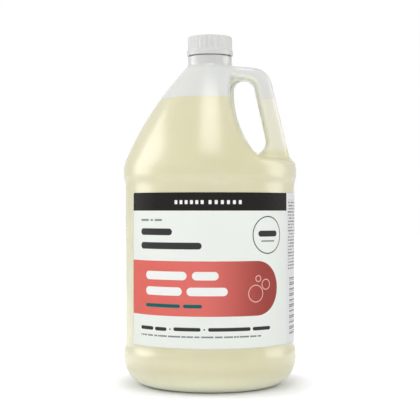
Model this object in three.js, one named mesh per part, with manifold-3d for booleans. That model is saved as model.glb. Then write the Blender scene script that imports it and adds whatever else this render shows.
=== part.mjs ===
// One-gallon round soap jug: blown body with a hollow side handle, soap, wrap label, liner and ribbed cap.
// Millimetres, +Z up. The origin lies on the floor under the neck. The handle points along +X and the
// front of the label faces -Y.
import * as THREE from "three";
import { mergeVertices } from "three/addons/utils/BufferGeometryUtils.js";
import Module from "manifold-3d";

const wasm = await Module();
wasm.setup();

// Jug body, from the floor up
const WALL = 1.0;
const PUSH_UP = 5; // height of the hollow under the base
const PUSH_UP_RADIUS = 40;
const FOOT_INNER_RADIUS = 45;
const FOOT_OUTER_RADIUS = 50.5;
const BULGE_RADIUS = 76.2; // heel band and shoulder band
const PANEL_INSET = 1.7; // the label panel lies this far inside the bands
const HEEL_HEIGHT = 25;
const HEEL_BAND = 3.5;
const HEEL_EASE = 10; // length of the step from a band to the panel
const PANEL_HEIGHT = 135.5;
const SHOULDER_EASE = 12.5;
const SHOULDER_BAND = 2.5;
const SHOULDER_ROLL_HEIGHT = 11.8;
const SHOULDER_ROLL_INSET = 3.1;
const CONE_HEIGHT = 79.2;
const CONE_BULGE_DROP = 38; // the cone's control point below the cone's top
const CONE_BULGE_REACH = 34.3; // and outward of it
const NECK_STEP = 2.1; // the bare neck stands out from the threaded finish
const NECK_FILLET = 3;
const NECK_FLARE = 1.7; // the neck's foot spreads this far into the cone
const NECK_HEIGHT = 6.8;
const FINISH_RADIUS = 17.3; // threaded part of the neck, under the cap
const FINISH_WALL = 1.6;
const FINISH_HEIGHT = 14.4;
const FILL_DROP = 27.7; // soap level under the cone's top

// Handle and finger hole, in the XZ plane
const HOLE_GAP = 1.9; // from the neck's side to the hole
const BRIDGE_DROP = 0.8; // handle top below the bottom of the straight neck
const BRIDGE_DEPTH = 13.8;
const BRIDGE_FALL = 2.7; // the bridge's top falls this far towards the grip
const GRIP_TOP_REACH = 31.4; // grip's outer edge at the bridge, out from the neck's side
const GRIP_FOOT_INSET = 5.6; // grip's outer edge at the shoulder, in from the bands
const GRIP_TOP_DEPTH = 16.1; // measured level at the bridge
const GRIP_FOOT_DEPTH = 17.8; // and at the shoulder
const GRIP_BEND = 18.5; // outer radius of the bend from bridge to grip
const GRIP_FLARE_BEND = 15; // radius where the grip's edges turn at its foot
const GRIP_FLARE_LIFT = 4; // the grip's outer edge starts to flare this far over the shoulder roll
const GRIP_FLARE_INSET = 1.5; // and ends this far in from the bands
const GRIP_WIDTH = 25; // along Y
const GRIP_SQUARENESS = 2.6; // exponent of the rounded section
const HOLE_TOP_ROUND = 9;
const HOLE_BACK_DROP = 37.8; // from the hole's top to the corner of its body side
const HOLE_BACK_ROUND = 84;
const HOLE_FOOT_REACH = 21.2; // from the hole's neck side to the corner of its foot
const HOLE_FOOT_LIFT = 1.1; // that corner over the shoulder roll's top
const HOLE_FOOT_ROUND = 5;
const HOLE_HEEL_LIFT = 11; // where the hole leaves the grip, over the shoulder roll's top
const HOLE_HEEL_ROUND = 12.2;
const WEB_WIDTH = 2.6; // pinched seam between the hole and the scooped wall
const WEB_THICKNESS = 2.2;
const WEB_BURY = 3; // seam hidden in the walls
const SCOOP_ROUND = 12; // rounding where the scoop meets the cone
const SCOOP_KNEE_ROUND = 10;
const SHELF_DROP = 4; // outer end of the scoop's shelf under the shoulder roll's top
const SHELF_RISE = 4.5;

// Label
const LABEL_START_DEG = -61.2; // from the front towards the back, seen from above
const LABEL_SWEEP_DEG = 312.2;
const LABEL_LOWER_MARGIN = 1;
const LABEL_UPPER_MARGIN = 5.2;
const LABEL_THICKNESS = 0.2;
const LABEL_GLUE = 0.05;

// Cap and liner
const CAP_WALL_CLEARANCE = 1.25; // finish to cap wall, room for the threads
const CAP_WALL = 0.65;
const RIB_DEPTH = 0.45;
const RIB_COUNT = 30;
const SKIRT_FLARE = 0.7;
const SKIRT_HEIGHT = 4.6;
const SKIRT_STEP = 0.4;
const CAP_ROOF = 1.8;
const CAP_EDGE_ROUND = 1.3;
const CAP_EDGE_EASE = 0.3; // share of the edge round left at its middle
const CAP_HANG = 13.6; // cap wall below the mouth
const LINER_THICKNESS = 1.2;
const LINER_CLEARANCE = 0.3;

// Fits and facets
const SEAT_GAP = 0.1;
const FILL_GAP = 0.3;
const FACETS = 44;
const GRIP_FACETS = 14;
const GRIP_SECTIONS = 20;
const CONE_ROWS = 15;
const CONE_ROW_PACKING = 1.4; // rows lie closer near the scoop's shelf
const RIB_FACETS = 4;
const CAP_FACETS = 60;

// Derived heights
const heelBandTop = HEEL_HEIGHT + HEEL_BAND;
const panelBottom = heelBandTop + HEEL_EASE;
const panelTop = panelBottom + PANEL_HEIGHT;
const shoulderBottom = panelTop + SHOULDER_EASE;
const shoulderTop = shoulderBottom + SHOULDER_BAND;
const rollTop = shoulderTop + SHOULDER_ROLL_HEIGHT;
const coneTop = rollTop + CONE_HEIGHT;
const neckBottom = coneTop + NECK_FILLET;
const neckTop = neckBottom + NECK_HEIGHT;
const mouth = neckTop + FINISH_HEIGHT;
const fillLevel = coneTop - FILL_DROP;
const panelRadius = BULGE_RADIUS - PANEL_INSET;
const neckRadius = FINISH_RADIUS + NECK_STEP;
const boreRadius = FINISH_RADIUS - FINISH_WALL;

const vec = (x, y) => new THREE.Vector2(x, y);

// Triangle mesh to solid and back.
function toSolid(geometry) {
  const bare = geometry.clone();
  bare.deleteAttribute("normal");
  bare.deleteAttribute("uv");
  const merged = mergeVertices(bare, 1e-4);
  const mesh = new wasm.Mesh({
    numProp: 3,
    vertProperties: new Float32Array(merged.attributes.position.array),
    triVerts: new Uint32Array(merged.index.array),
  });
  return new wasm.Manifold(mesh);
}

function toGeometry(solid) {
  const mesh = solid.getMesh();
  const geometry = new THREE.BufferGeometry();
  geometry.setAttribute("position", new THREE.BufferAttribute(new Float32Array(mesh.vertProperties), 3));
  geometry.setIndex(new THREE.BufferAttribute(new Uint32Array(mesh.triVerts), 1));
  return geometry;
}

// Skin over a stack of rings with equal point counts, each end closed by a fan to the ring's middle.
function loft(rings) {
  const count = rings[0].length;
  const points = rings.flat();
  const index = [];
  for (let i = 0; i + 1 < rings.length; i += 1) {
    for (let j = 0; j < count; j += 1) {
      const a = i * count + j;
      const b = i * count + ((j + 1) % count);
      index.push(a, b, b + count, a, b + count, a + count);
    }
  }
  for (const [ring, first, turn] of [[rings[0], 0, 1], [rings.at(-1), points.length - count, 0]]) {
    const middle = ring.reduce((sum, p) => sum.clone().add(p), new THREE.Vector3()).divideScalar(count);
    const hub = points.push(middle) - 1;
    for (let j = 0; j < count; j += 1) {
      const a = first + j;
      const b = first + ((j + 1) % count);
      index.push(hub, turn ? b : a, turn ? a : b);
    }
  }
  const geometry = new THREE.BufferGeometry().setFromPoints(points);
  geometry.setIndex(index);
  return geometry;
}

// Points moved sideways by a distance along the curve's own normal, to the left of its run.
function offset(points, distance, closed = false) {
  const count = points.length;
  return points.map((p, i) => {
    const before = closed ? points[(i + count - 1) % count] : points[Math.max(i - 1, 0)];
    const after = closed ? points[(i + 1) % count] : points[Math.min(i + 1, count - 1)];
    const run = after.clone().sub(before).normalize();
    return vec(p.x - run.y * distance, p.y + run.x * distance);
  });
}

// Corner list [x, y, radius] to points, with each corner rounded by an arc of about ARC_STEP per point.
// Two arcs that would overrun the side between them both shrink until they meet on it.
const ARC_STEP = 0.18;
function roundCorners(corners, closed) {
  const count = corners.length;
  const at = corners.map(([x, y]) => vec(x, y));
  const back = at.map((p, i) => at[(i + count - 1) % count].clone().sub(p));
  const ahead = at.map((p, i) => at[(i + 1) % count].clone().sub(p));
  const half = at.map((p, i) => back[i].angleTo(ahead[i]) / 2);
  const isRounded = (i) => closed || (i > 0 && i < count - 1);
  const reach = corners.map(([, , radius], i) => (isRounded(i) ? radius / Math.tan(half[i]) : 0));
  const points = [];
  corners.forEach(([, , radius], i) => {
    if (!isRounded(i)) {
      points.push(at[i]);
      return;
    }
    const share = Math.min(
      1,
      back[i].length() / (reach[i] + reach[(i + count - 1) % count]),
      ahead[i].length() / (reach[i] + reach[(i + 1) % count]),
    );
    const lead = back[i].clone().normalize();
    const bisector = ahead[i].clone().normalize().add(lead).normalize();
    const middle = bisector.multiplyScalar((share * radius) / Math.sin(half[i])).add(at[i]);
    const start = lead.multiplyScalar(share * reach[i]).add(at[i]).sub(middle);
    const turn = Math.sign(ahead[i].cross(back[i])) * (Math.PI - 2 * half[i]);
    const steps = Math.max(2, Math.round(Math.abs(turn) / ARC_STEP));
    for (let k = 0; k <= steps; k += 1) {
      points.push(start.clone().rotateAround(vec(0, 0), (turn * k) / steps).add(middle));
    }
  });
  return points;
}

// Body profile as [radius, height] from the base up to the foot of the straight neck.
function bodyProfile() {
  const base = new THREE.Path();
  base.moveTo(0, PUSH_UP);
  base.lineTo(PUSH_UP_RADIUS, PUSH_UP);
  base.quadraticCurveTo(FOOT_INNER_RADIUS, PUSH_UP, FOOT_INNER_RADIUS, 0);
  const heel = new THREE.EllipseCurve(
    FOOT_OUTER_RADIUS, HEEL_HEIGHT, BULGE_RADIUS - FOOT_OUTER_RADIUS, HEEL_HEIGHT, -Math.PI / 2, 0);
  const ease = (fromR, fromZ, toR, toZ) => new THREE.CubicBezierCurve(
    vec(fromR, fromZ), vec(fromR, (fromZ + toZ) / 2), vec(toR, (fromZ + toZ) / 2), vec(toR, toZ));
  const lowerEase = ease(BULGE_RADIUS, heelBandTop, panelRadius, panelBottom);
  const upperEase = ease(panelRadius, panelTop, BULGE_RADIUS, shoulderBottom);
  const rollRadius = BULGE_RADIUS - SHOULDER_ROLL_INSET;
  const coneRadius = neckRadius + NECK_FLARE;
  const control = vec(coneRadius + CONE_BULGE_REACH, coneTop - CONE_BULGE_DROP);
  const rollStart = vec(BULGE_RADIUS, shoulderTop);
  const rollEnd = vec(rollRadius, rollTop);
  const slope = control.clone().sub(rollEnd).normalize();
  const rollKnee = rollEnd.clone().addScaledVector(slope, -(rollEnd.x - BULGE_RADIUS) / slope.x);
  const roll = new THREE.QuadraticBezierCurve(rollStart, rollKnee, rollEnd);
  const cone = new THREE.QuadraticBezierCurve(rollEnd, control, vec(coneRadius, coneTop));
  const fillet = new THREE.QuadraticBezierCurve(
    vec(coneRadius, coneTop), vec(neckRadius, coneTop + NECK_FILLET / 2), vec(neckRadius, neckBottom));
  const conePoints = [];
  for (let i = 1; i <= CONE_ROWS; i += 1) {
    conePoints.push(cone.getPoint((i / CONE_ROWS) ** CONE_ROW_PACKING));
  }
  return [
    ...base.getPoints(3).slice(1),
    ...heel.getPoints(5),
    vec(BULGE_RADIUS, heelBandTop),
    ...lowerEase.getPoints(3).slice(1),
    ...upperEase.getPoints(3),
    ...roll.getPoints(6),
    ...conePoints,
    ...fillet.getPoints(2).slice(1),
  ];
}

// Finger hole: four corners in the XZ plane. The grip's inner edge gives its outer side.
const bridgeTop = neckBottom - BRIDGE_DROP;
const holeTop = bridgeTop - BRIDGE_DEPTH;
const holeLeft = neckRadius + HOLE_GAP;
const holeFoot = rollTop + HOLE_FOOT_LIFT;
const holeFootX = holeLeft + HOLE_FOOT_REACH;
const holeHeel = rollTop + HOLE_HEEL_LIFT;
const gripTopX = neckRadius + GRIP_TOP_REACH;
const gripFootX = BULGE_RADIUS - GRIP_FOOT_INSET;
const gripOuterX = (z) => THREE.MathUtils.mapLinear(z, bridgeTop, rollTop, gripTopX, gripFootX);
const gripDepth = (z) => (
  THREE.MathUtils.mapLinear(z, bridgeTop, rollTop, GRIP_TOP_DEPTH, GRIP_FOOT_DEPTH));
const gripInnerX = (z) => gripOuterX(z) - gripDepth(z);
const holeBack = holeTop - HOLE_BACK_DROP;
const holePoints = roundCorners([
  [holeLeft, holeTop, HOLE_TOP_ROUND],
  [holeLeft, holeBack, HOLE_BACK_ROUND],
  [holeFootX, holeFoot, HOLE_FOOT_ROUND],
  [gripInnerX(holeHeel), holeHeel, HOLE_HEEL_ROUND],
  [gripInnerX(holeTop), holeTop, HOLE_TOP_ROUND],
], true);

// Scoop: the cut's side in the XZ plane, from the neck down and out along the shelf.
const scoopLeft = holeLeft - WEB_WIDTH;
const shelfEnd = rollTop - SHELF_DROP;
const backSlope = HOLE_FOOT_REACH / (holeBack - holeFoot);
const shelfKnee = shelfEnd + SHELF_RISE;
const scoopPoints = roundCorners([
  [scoopLeft, coneTop, 0],
  [scoopLeft, holeBack, HOLE_BACK_ROUND],
  [scoopLeft + backSlope * (holeBack - shelfKnee), shelfKnee, SCOOP_KNEE_ROUND],
  [BULGE_RADIUS + SCOOP_ROUND, shelfEnd, 0],
], false);

function scoopReach(z, inset) {
  const side = offset(scoopPoints, -inset);
  const next = side.findIndex((p) => p.y <= z);
  if (next < 1) return Infinity;
  return THREE.MathUtils.mapLinear(z, side[next - 1].y, side[next].y, side[next - 1].x, side[next].x);
}

// The lesser of two lengths, eased over a band where they are nearly equal.
function easedMin(a, b, band) {
  if (!Number.isFinite(b)) return a;
  const near = Math.max(band - Math.abs(a - b), 0) / band;
  return Math.min(a, b) - (near * near * band) / 4;
}

// Body skin: the revolved profile with the scoop taken out of its +X side.
const SIDE_LIMIT = 0.05; // cosine of the last angle that can meet the scoop
function bodyRing(radius, z, inset) {
  const reach = scoopReach(z, inset);
  const ring = [];
  for (let j = 0; j < FACETS; j += 1) {
    const angle = (2 * Math.PI * j) / FACETS;
    const cut = Math.cos(angle) > SIDE_LIMIT ? reach / Math.cos(angle) : Infinity;
    const r = easedMin(radius, cut, SCOOP_ROUND);
    ring.push(new THREE.Vector3(r * Math.cos(angle), r * Math.sin(angle), z));
  }
  return ring;
}

function bodySolid(inset, collar) {
  const profile = offset(bodyProfile(), inset);
  const rings = [...profile, ...collar].map((p) => bodyRing(p.x, p.y, inset));
  return toSolid(loft(rings));
}

// Handle: rounded sections strung between an outer and an inner edge.
function handleSolid(inset) {
  const rootX = boreRadius - WALL;
  const footZ = shoulderBottom;
  const flareTop = rollTop + GRIP_FLARE_LIFT;
  const bendX = gripOuterX(bridgeTop - BRIDGE_FALL);
  const outer = roundCorners([
    [rootX, bridgeTop, 0],
    [bendX, bridgeTop - BRIDGE_FALL, GRIP_BEND],
    [gripOuterX(flareTop), flareTop, GRIP_FLARE_BEND],
    [BULGE_RADIUS - GRIP_FLARE_INSET, shoulderTop, 0],
  ], false);
  const inner = roundCorners([
    [rootX, holeTop - HOLE_TOP_ROUND, 0],
    [holeLeft, holeTop, HOLE_TOP_ROUND],
    [gripInnerX(holeTop), holeTop, HOLE_TOP_ROUND],
    [gripInnerX(rollTop), rollTop, GRIP_FLARE_BEND],
    [gripFootX - GRIP_FOOT_DEPTH - WEB_WIDTH, footZ, 0],
  ], false);
  const outerEdge = new THREE.Path(outer).getSpacedPoints(GRIP_SECTIONS);
  const innerEdge = new THREE.Path(inner).getSpacedPoints(GRIP_SECTIONS);
  const rings = outerEdge.map((far, i) => {
    const near = innerEdge[i];
    const across = far.clone().sub(near);
    const depth = across.length() / 2 - inset;
    const width = GRIP_WIDTH / 2 - inset;
    across.normalize();
    const ring = [];
    for (let j = 0; j < GRIP_FACETS; j += 1) {
      const angle = (2 * Math.PI * j) / GRIP_FACETS;
      const c = Math.sign(Math.cos(angle)) * Math.abs(Math.cos(angle)) ** (2 / GRIP_SQUARENESS);
      const s = Math.sign(Math.sin(angle)) * Math.abs(Math.sin(angle)) ** (2 / GRIP_SQUARENESS);
      const middle = far.clone().add(near).divideScalar(2).addScaledVector(across, depth * c);
      ring.push(new THREE.Vector3(middle.x, -width * s, middle.y));
    }
    return ring;
  });
  return toSolid(loft(rings));
}

// Pinched seam round the finger hole, a thin plate in the handle's plane.
function webSolid() {
  const plate = new THREE.Shape(offset(holePoints, -WEB_WIDTH - WEB_BURY, true));
  plate.holes.push(new THREE.Path(holePoints));
  const geometry = new THREE.ExtrudeGeometry(plate, { depth: WEB_THICKNESS, bevelEnabled: false });
  geometry.rotateX(Math.PI / 2);
  geometry.translate(0, WEB_THICKNESS / 2, 0);
  return toSolid(geometry);
}

function boxSolid(fromZ, toZ) {
  const side = 4 * BULGE_RADIUS;
  return toSolid(new THREE.BoxGeometry(side, side, toZ - fromZ).translate(0, 0, (fromZ + toZ) / 2));
}

const finishCollar = [vec(neckRadius, neckTop), vec(FINISH_RADIUS, neckTop), vec(FINISH_RADIUS, mouth)];
const boreStart = neckTop - WALL;
const boreCollar = [
  vec(neckRadius - WALL, boreStart - (neckRadius - WALL - boreRadius)),
  vec(boreRadius, boreStart),
  vec(boreRadius, mouth + WALL),
];
const skin = bodySolid(0, finishCollar).add(handleSolid(0)).add(webSolid());
const hollow = bodySolid(WALL, boreCollar).add(handleSolid(WALL));
const jugSolid = skin.subtract(hollow);

const fillInset = WALL + FILL_GAP;
const soapSolid = bodySolid(fillInset, [])
  .add(handleSolid(fillInset))
  .intersect(boxSolid(0, fillLevel));

// Label: a film that follows the panel's facets between two angles measured from -Y.
function labelGeometry() {
  const start = THREE.MathUtils.degToRad(LABEL_START_DEG - 90);
  const end = start + THREE.MathUtils.degToRad(LABEL_SWEEP_DEG);
  const step = (2 * Math.PI) / FACETS;
  const angles = [start];
  for (let k = Math.floor(start / step) + 1; k * step < end; k += 1) {
    angles.push(k * step);
  }
  angles.push(end);
  const onFacet = (radius, angle) => {
    const middle = (Math.floor(angle / step) + 0.5) * step;
    const r = (radius * Math.cos(step / 2)) / Math.cos(angle - middle);
    return vec(r * Math.cos(angle), r * Math.sin(angle));
  };
  const inside = angles.map((a) => onFacet(panelRadius + LABEL_GLUE, a));
  const outside = angles.map((a) => onFacet(panelRadius + LABEL_GLUE + LABEL_THICKNESS, a));
  const outline = new THREE.Shape([...outside, ...inside.reverse()]);
  const height = PANEL_HEIGHT - LABEL_LOWER_MARGIN - LABEL_UPPER_MARGIN;
  const geometry = new THREE.ExtrudeGeometry(outline, { depth: height, bevelEnabled: false });
  return geometry.translate(0, 0, panelBottom + LABEL_LOWER_MARGIN);
}

// Cap: a stack of rings, fluted above the smooth skirt, bored out from below.
const linerBottom = mouth + SEAT_GAP;
const roofBottom = linerBottom + LINER_THICKNESS + SEAT_GAP;
const capTop = roofBottom + CAP_ROOF;
const capBottom = mouth - CAP_HANG;
const capInner = FINISH_RADIUS + CAP_WALL_CLEARANCE;
const capOuter = capInner + CAP_WALL + RIB_DEPTH;

function capRing(radius, z, flute) {
  const ring = [];
  for (let j = 0; j < RIB_COUNT * RIB_FACETS; j += 1) {
    const angle = (2 * Math.PI * j) / (RIB_COUNT * RIB_FACETS);
    const r = radius - flute * (j % RIB_FACETS === 0 ? 1 : 0);
    ring.push(new THREE.Vector3(r * Math.cos(angle), r * Math.sin(angle), z));
  }
  return ring;
}

function capSolid() {
  const skirt = capOuter + SKIRT_FLARE;
  const skirtTop = capBottom + SKIRT_HEIGHT;
  const edgeStep = CAP_EDGE_ROUND * CAP_EDGE_EASE;
  const shell = toSolid(loft([
    capRing(skirt, capBottom, 0),
    capRing(skirt, skirtTop - SKIRT_STEP, 0),
    capRing(capOuter, skirtTop, 0),
    capRing(capOuter, skirtTop + SKIRT_STEP, RIB_DEPTH),
    capRing(capOuter, capTop - CAP_EDGE_ROUND, RIB_DEPTH),
    capRing(capOuter - edgeStep, capTop - edgeStep, RIB_DEPTH / 2),
    capRing(capOuter - CAP_EDGE_ROUND, capTop, 0),
  ]));
  const depth = roofBottom - capBottom + WALL;
  const bore = new THREE.CylinderGeometry(capInner, capInner, depth, CAP_FACETS).rotateX(Math.PI / 2);
  return shell.subtract(toSolid(bore.translate(0, 0, roofBottom - depth / 2)));
}

function linerGeometry() {
  const radius = capInner - LINER_CLEARANCE;
  const disc = new THREE.CylinderGeometry(radius, radius, LINER_THICKNESS, CAP_FACETS).rotateX(Math.PI / 2);
  return disc.translate(0, 0, linerBottom + LINER_THICKNESS / 2);
}

function piece(name, geometry, colour, roughness) {
  const material = new THREE.MeshStandardMaterial({ color: colour, roughness, metalness: 0 });
  const mesh = new THREE.Mesh(geometry, material);
  mesh.name = name;
  return mesh;
}

const pack = new THREE.Group();
pack.name = "soap_refill_pack";
pack.add(piece("jug", toGeometry(jugSolid), 0xe9eae3, 0.4));
pack.add(piece("liquid_soap", toGeometry(soapSolid), 0xe2deb8, 0.15));
pack.add(piece("wrap_label", labelGeometry(), 0xeaf0e8, 0.45));
pack.add(piece("cap_liner", linerGeometry(), 0xf2f2ee, 0.8));
pack.add(piece("screw_cap", toGeometry(capSolid()), 0xe4e4e4, 0.4));

export default pack;
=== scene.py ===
"""One-gallon soap jug with a wrap label and a ribbed cap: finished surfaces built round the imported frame.

Shapes are worked out in millimetres and go into the meshes in metres, +Z up. The front faces -Y and the
handle points along +X.
"""
import math

import bpy
import numpy as np
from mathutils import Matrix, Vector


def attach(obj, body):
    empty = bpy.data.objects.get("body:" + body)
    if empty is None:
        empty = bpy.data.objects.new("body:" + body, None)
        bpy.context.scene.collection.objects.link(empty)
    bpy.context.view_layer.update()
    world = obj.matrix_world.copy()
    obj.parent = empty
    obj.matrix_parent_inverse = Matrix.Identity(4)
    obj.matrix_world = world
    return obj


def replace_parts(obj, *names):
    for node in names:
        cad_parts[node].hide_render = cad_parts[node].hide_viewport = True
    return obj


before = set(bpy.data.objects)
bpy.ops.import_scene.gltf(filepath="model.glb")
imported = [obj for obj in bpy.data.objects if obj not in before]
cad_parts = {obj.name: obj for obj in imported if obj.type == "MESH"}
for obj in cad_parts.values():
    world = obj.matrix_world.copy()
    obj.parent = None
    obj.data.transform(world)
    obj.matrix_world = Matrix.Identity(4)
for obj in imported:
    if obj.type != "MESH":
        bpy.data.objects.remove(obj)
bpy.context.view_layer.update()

MM = 0.001
TURN = 2 * math.pi

# Jug body
BAND_RADIUS = 76.2
PANEL_RADIUS = 74.5
FOOT_OUTER_RADIUS = 50.5
FOOT_INNER_RADIUS = 45.0
PUSH_UP_RADIUS = 40.0
PUSH_UP_HEIGHT = 5.0
HEEL_TOP = 25.0
HEEL_BAND_TOP = 28.5
PANEL_BOTTOM = 38.5
PANEL_TOP = 174.0
SHOULDER_BOTTOM = 186.5
SHOULDER_TOP = 189.0
ROLL_KNEE = (76.2, 193.58)
ROLL_END = (73.1, 200.8)
CONE_BULGE = (55.4, 242.0)
CONE_END = (21.1, 280.0)
NECK_RADIUS = 19.4
NECK_KNEE = (NECK_RADIUS, 281.5)
NECK_BOTTOM = 283.0
NECK_TOP = 289.8
FINISH_RADIUS = 17.3
BORE_RADIUS = 15.7
BORE_END = 297.0  # the milky bore is closed at this height
MOUTH = 304.2
OUTLINE_BOTTOM = 180.0  # heights between which the upper outline is drawn
OUTLINE_TOP = 300.0
FILL_LEVEL = 251.6
SOAP_INSET = 1.2
FOOT_LIP = 0.9  # height of the round inside the foot ring
BASE_EYE_RADIUS = 2.0  # the base's last ring, closed to a point
SCAR_LENGTH = 33.0  # half of the pinch-off line under the base
SCAR_FADE = 4.0
SCAR_WIDTH = 1.8  # half of its width where it leaves the base
SCAR_EDGE = 0.8
SCAR_HEIGHT = 0.7

# Handle and finger hole, as corners (x, z, radius) in the handle's plane
GRIP_OUTER_EDGE = [(14.7, 282.0, 0), (51.6, 278.8, 18.0), (69.4, 204.8, 15), (72.8, 189.0, 0)]
GRIP_INNER_EDGE = [(14.7, 259.4, 0), (21.3, 268.4, 9), (37.77, 268.4, 9), (51.0, 211.0, 12.2),
                   (43.2, 201.2, 0), (41.0, 186.5, 0)]
FINGER_HOLE = [(21.3, 268.4, 9), (21.3, 230.6, 84), (42.5, 201.9, 5), (50.35, 211.8, 12.2), (37.77, 268.4, 9)]
SCOOP_SIDE = [(34.0, 284.0, 0), (17.4, 267.0, 20), (17.4, 230.3, 84), (39.4, 199.9, 10), (88.2, 195.6, 0)]
GRIP_HALF_WIDTH = 12.5
GRIP_SQUARENESS = 3.4
GRIP_ROOT = 9.0  # the handle is hidden in the neck inside this reach
GRIP_FADE = (195.0, 189.0)  # heights over which the handle sinks into the shoulder
GRIP_SINK = 12.0  # field added where it has sunk
GRIP_SCALE = 9.0  # turns the handle's section, which has no unit, into about millimetres
GRIP_LEAST_DEPTH = 8.0
WEB_WIDTH = 7.5
WEB_HALF_THICKNESS = 2.0
WEB_EDGE = 0.9
HOLE_EDGE = 0.8
SCOOP_ROUND = 9.0
SHELF_ROUND = 5.0  # tighter edge where the scoop ends in a shelf on the shoulder
SHELF_BLEND = (200.0, 214.0)  # heights over which the shelf's edge becomes the scoop's
GRIP_FILLET = 4.5
FOOT_FILLET = 6.0  # wider fillet where the handle lands on the shoulder
FOOT_BLEND = (212.0, 198.0)
NECK_FILLET = 1.5  # tighter fillet where it meets the neck
NECK_BLEND = (272.0, 280.0)
WEB_FILLET = 2.0
RIM_REACH = 6.0  # the flange round the hole is painted paler this far from the hole, partly its own pale plastic, partly painted light
RIM_SOFT = 2.5
RIM_HALF_WIDTH = 4.5
RIM_SIDE_SOFT = 2.0
PALM_SOFT = 4.0  # the same for the handle's inner side
PALM_OVERLAP = 1.5
PALM_FOOT = (203.0, 208.0)  # heights over which the painted light on the handle's inner side begins

# Screw thread
LEAD = 4.2333
THREAD_HEIGHT = 1.0
THREAD_FOOT = 0.95  # half width at the wall
THREAD_CREST = 0.4
THREAD_RUNOUT = 0.09  # turns over which an end fades
NECK_THREAD_START = 294.2
NECK_THREAD_TURNS = 1.7
CAP_THREAD_START = NECK_THREAD_START - LEAD / 2
CAP_THREAD_TURNS = 1.4
FINISH_HEIGHTS = (290.3, 303.5)
CAP_BORE_HEIGHTS = (304.9, 291.3)
THREAD_ROW = 0.3  # spacing of the rows that carry a thread

# Cap
CAP_BORE = 18.55
CAP_WALL_RADIUS = 19.65
CAP_SKIRT_RADIUS = 20.35
CAP_BOTTOM = 290.6
CAP_SKIRT_TOP = 295.2
CAP_ROOF = 305.6
CAP_TOP = 307.4
CAP_EDGE_ROUND = 1.3
RIB_COUNT = 30
RIB_DEPTH = 0.5
RIB_COLUMNS = 14
RIB_BOTTOM = 295.5
RIB_TOP_GAP = 0.15  # the grooves end this far under the cap's top
RIB_RUNOUT = 0.9
RIB_INNER_RADIUS = 18.0
GROOVE_POWER = 2.2  # above 1 the ribs are wider than the grooves

# Label
LABEL_RADIUS = 74.75
LABEL_THICKNESS = 0.19
LABEL_START = math.radians(-61.2)
LABEL_SWEEP = math.radians(312.2)
LABEL_BOTTOM = 39.5
LABEL_TOP = 168.8
LABEL_CORNER = 1.6
LABEL_COLUMNS = 317
LABEL_ROWS = 40
LABEL_EDGE_ROWS = (3, 6)  # distances from the edge of the last two close rows
MAP_PRINT = (0.08, 0.92)  # bottom and height of the printed side on the unrolled map
MAP_BACK_HEIGHT = 0.04
MAP_RIM = (0.05, 0.07)  # bottom and top of the row of rim faces


def unit(vector):
    return vector / np.linalg.norm(vector)


def smooth(share):
    """Share from 0 to 1 eased at both ends: 3 t squared less 2 t cubed."""
    share = np.clip(share, 0.0, 1.0)
    return share * share * (3 - 2 * share)


def eased(value, start, end):
    """Eased share from 0 at start to 1 at end, which may be the lower of the two."""
    return smooth((value - start) / (end - start))


def soft_max(a, b, band):
    """The greater of two fields, raised by a parabola over the band where they are nearly equal."""
    near = np.maximum(band - np.abs(a - b), 0.0)
    return np.maximum(a, b) + near * near / (4 * band)


def soft_min(a, b, band):
    return -soft_max(-a, -b, band)


def bezier(corners, count):
    """Bezier curve: neighbouring control points are blended by the share t until one point is left."""
    share = np.linspace(0.0, 1.0, count)[:, None]
    level = [np.asarray(corner, float) for corner in corners]
    while len(level) > 1:
        level = [a + (b - a) * share for a, b in zip(level, level[1:])]
    return level[0]


def straight(start, end, count):
    return bezier([start, end], count)


def rounded_line(corners, closed=False):
    """Line through corners (x, y, radius), each corner swapped for the arc that touches both its legs."""
    parts = []
    for i, (x, y, radius) in enumerate(corners):
        here = np.array([x, y], float)
        if not radius:
            parts.append(here[None])
            continue
        back = unit(np.array(corners[i - 1][:2]) - here)
        ahead = unit(np.array(corners[(i + 1) % len(corners)][:2]) - here)
        half = math.acos(np.clip(back @ ahead, -1, 1)) / 2
        middle = here + unit(back + ahead) * radius / math.sin(half)
        start = here + back * radius / math.tan(half) - middle
        bend = math.copysign(math.pi - 2 * half, ahead[0] * back[1] - ahead[1] * back[0])
        angle = math.atan2(start[1], start[0]) + bend * np.linspace(0, 1, 6 + int(abs(bend) / 0.05))
        parts.append(middle + radius * np.stack([np.cos(angle), np.sin(angle)], 1))
    line = np.concatenate(parts)
    return np.concatenate([line, line[:1]]) if closed else line


def side_distance(points, line):
    """Distance from each point to the nearest place on a line, positive to the left of the line's run."""
    run = np.diff(line, axis=0)
    away = points[:, None] - line[:-1]
    share = np.clip((away * run).sum(2) / (run * run).sum(1), 0, 1)
    gap = away - share[..., None] * run
    best = np.argmin((gap * gap).sum(2), axis=1)
    gap = gap[np.arange(len(points)), best]
    run = run[best]
    return np.copysign(np.hypot(gap[:, 0], gap[:, 1]), run[:, 0] * gap[:, 1] - run[:, 1] * gap[:, 0])


# Tables over the handle's plane, looked up by the field below
TABLE_STEP = 0.75
TABLE_X = np.arange(0.0, 96.0, TABLE_STEP)
TABLE_Z = np.arange(184.0, 291.0, TABLE_STEP)
plane_points = np.stack(np.meshgrid(TABLE_X, TABLE_Z, indexing="ij"), 2).reshape(-1, 2)


def distance_table(line):
    return side_distance(plane_points, line).reshape(len(TABLE_X), len(TABLE_Z))


outer_table = -distance_table(rounded_line(GRIP_OUTER_EDGE))
inner_table = distance_table(rounded_line(GRIP_INNER_EDGE))
hole_table = -distance_table(rounded_line(FINGER_HOLE, True))
scoop_table = distance_table(rounded_line(SCOOP_SIDE))


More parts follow.
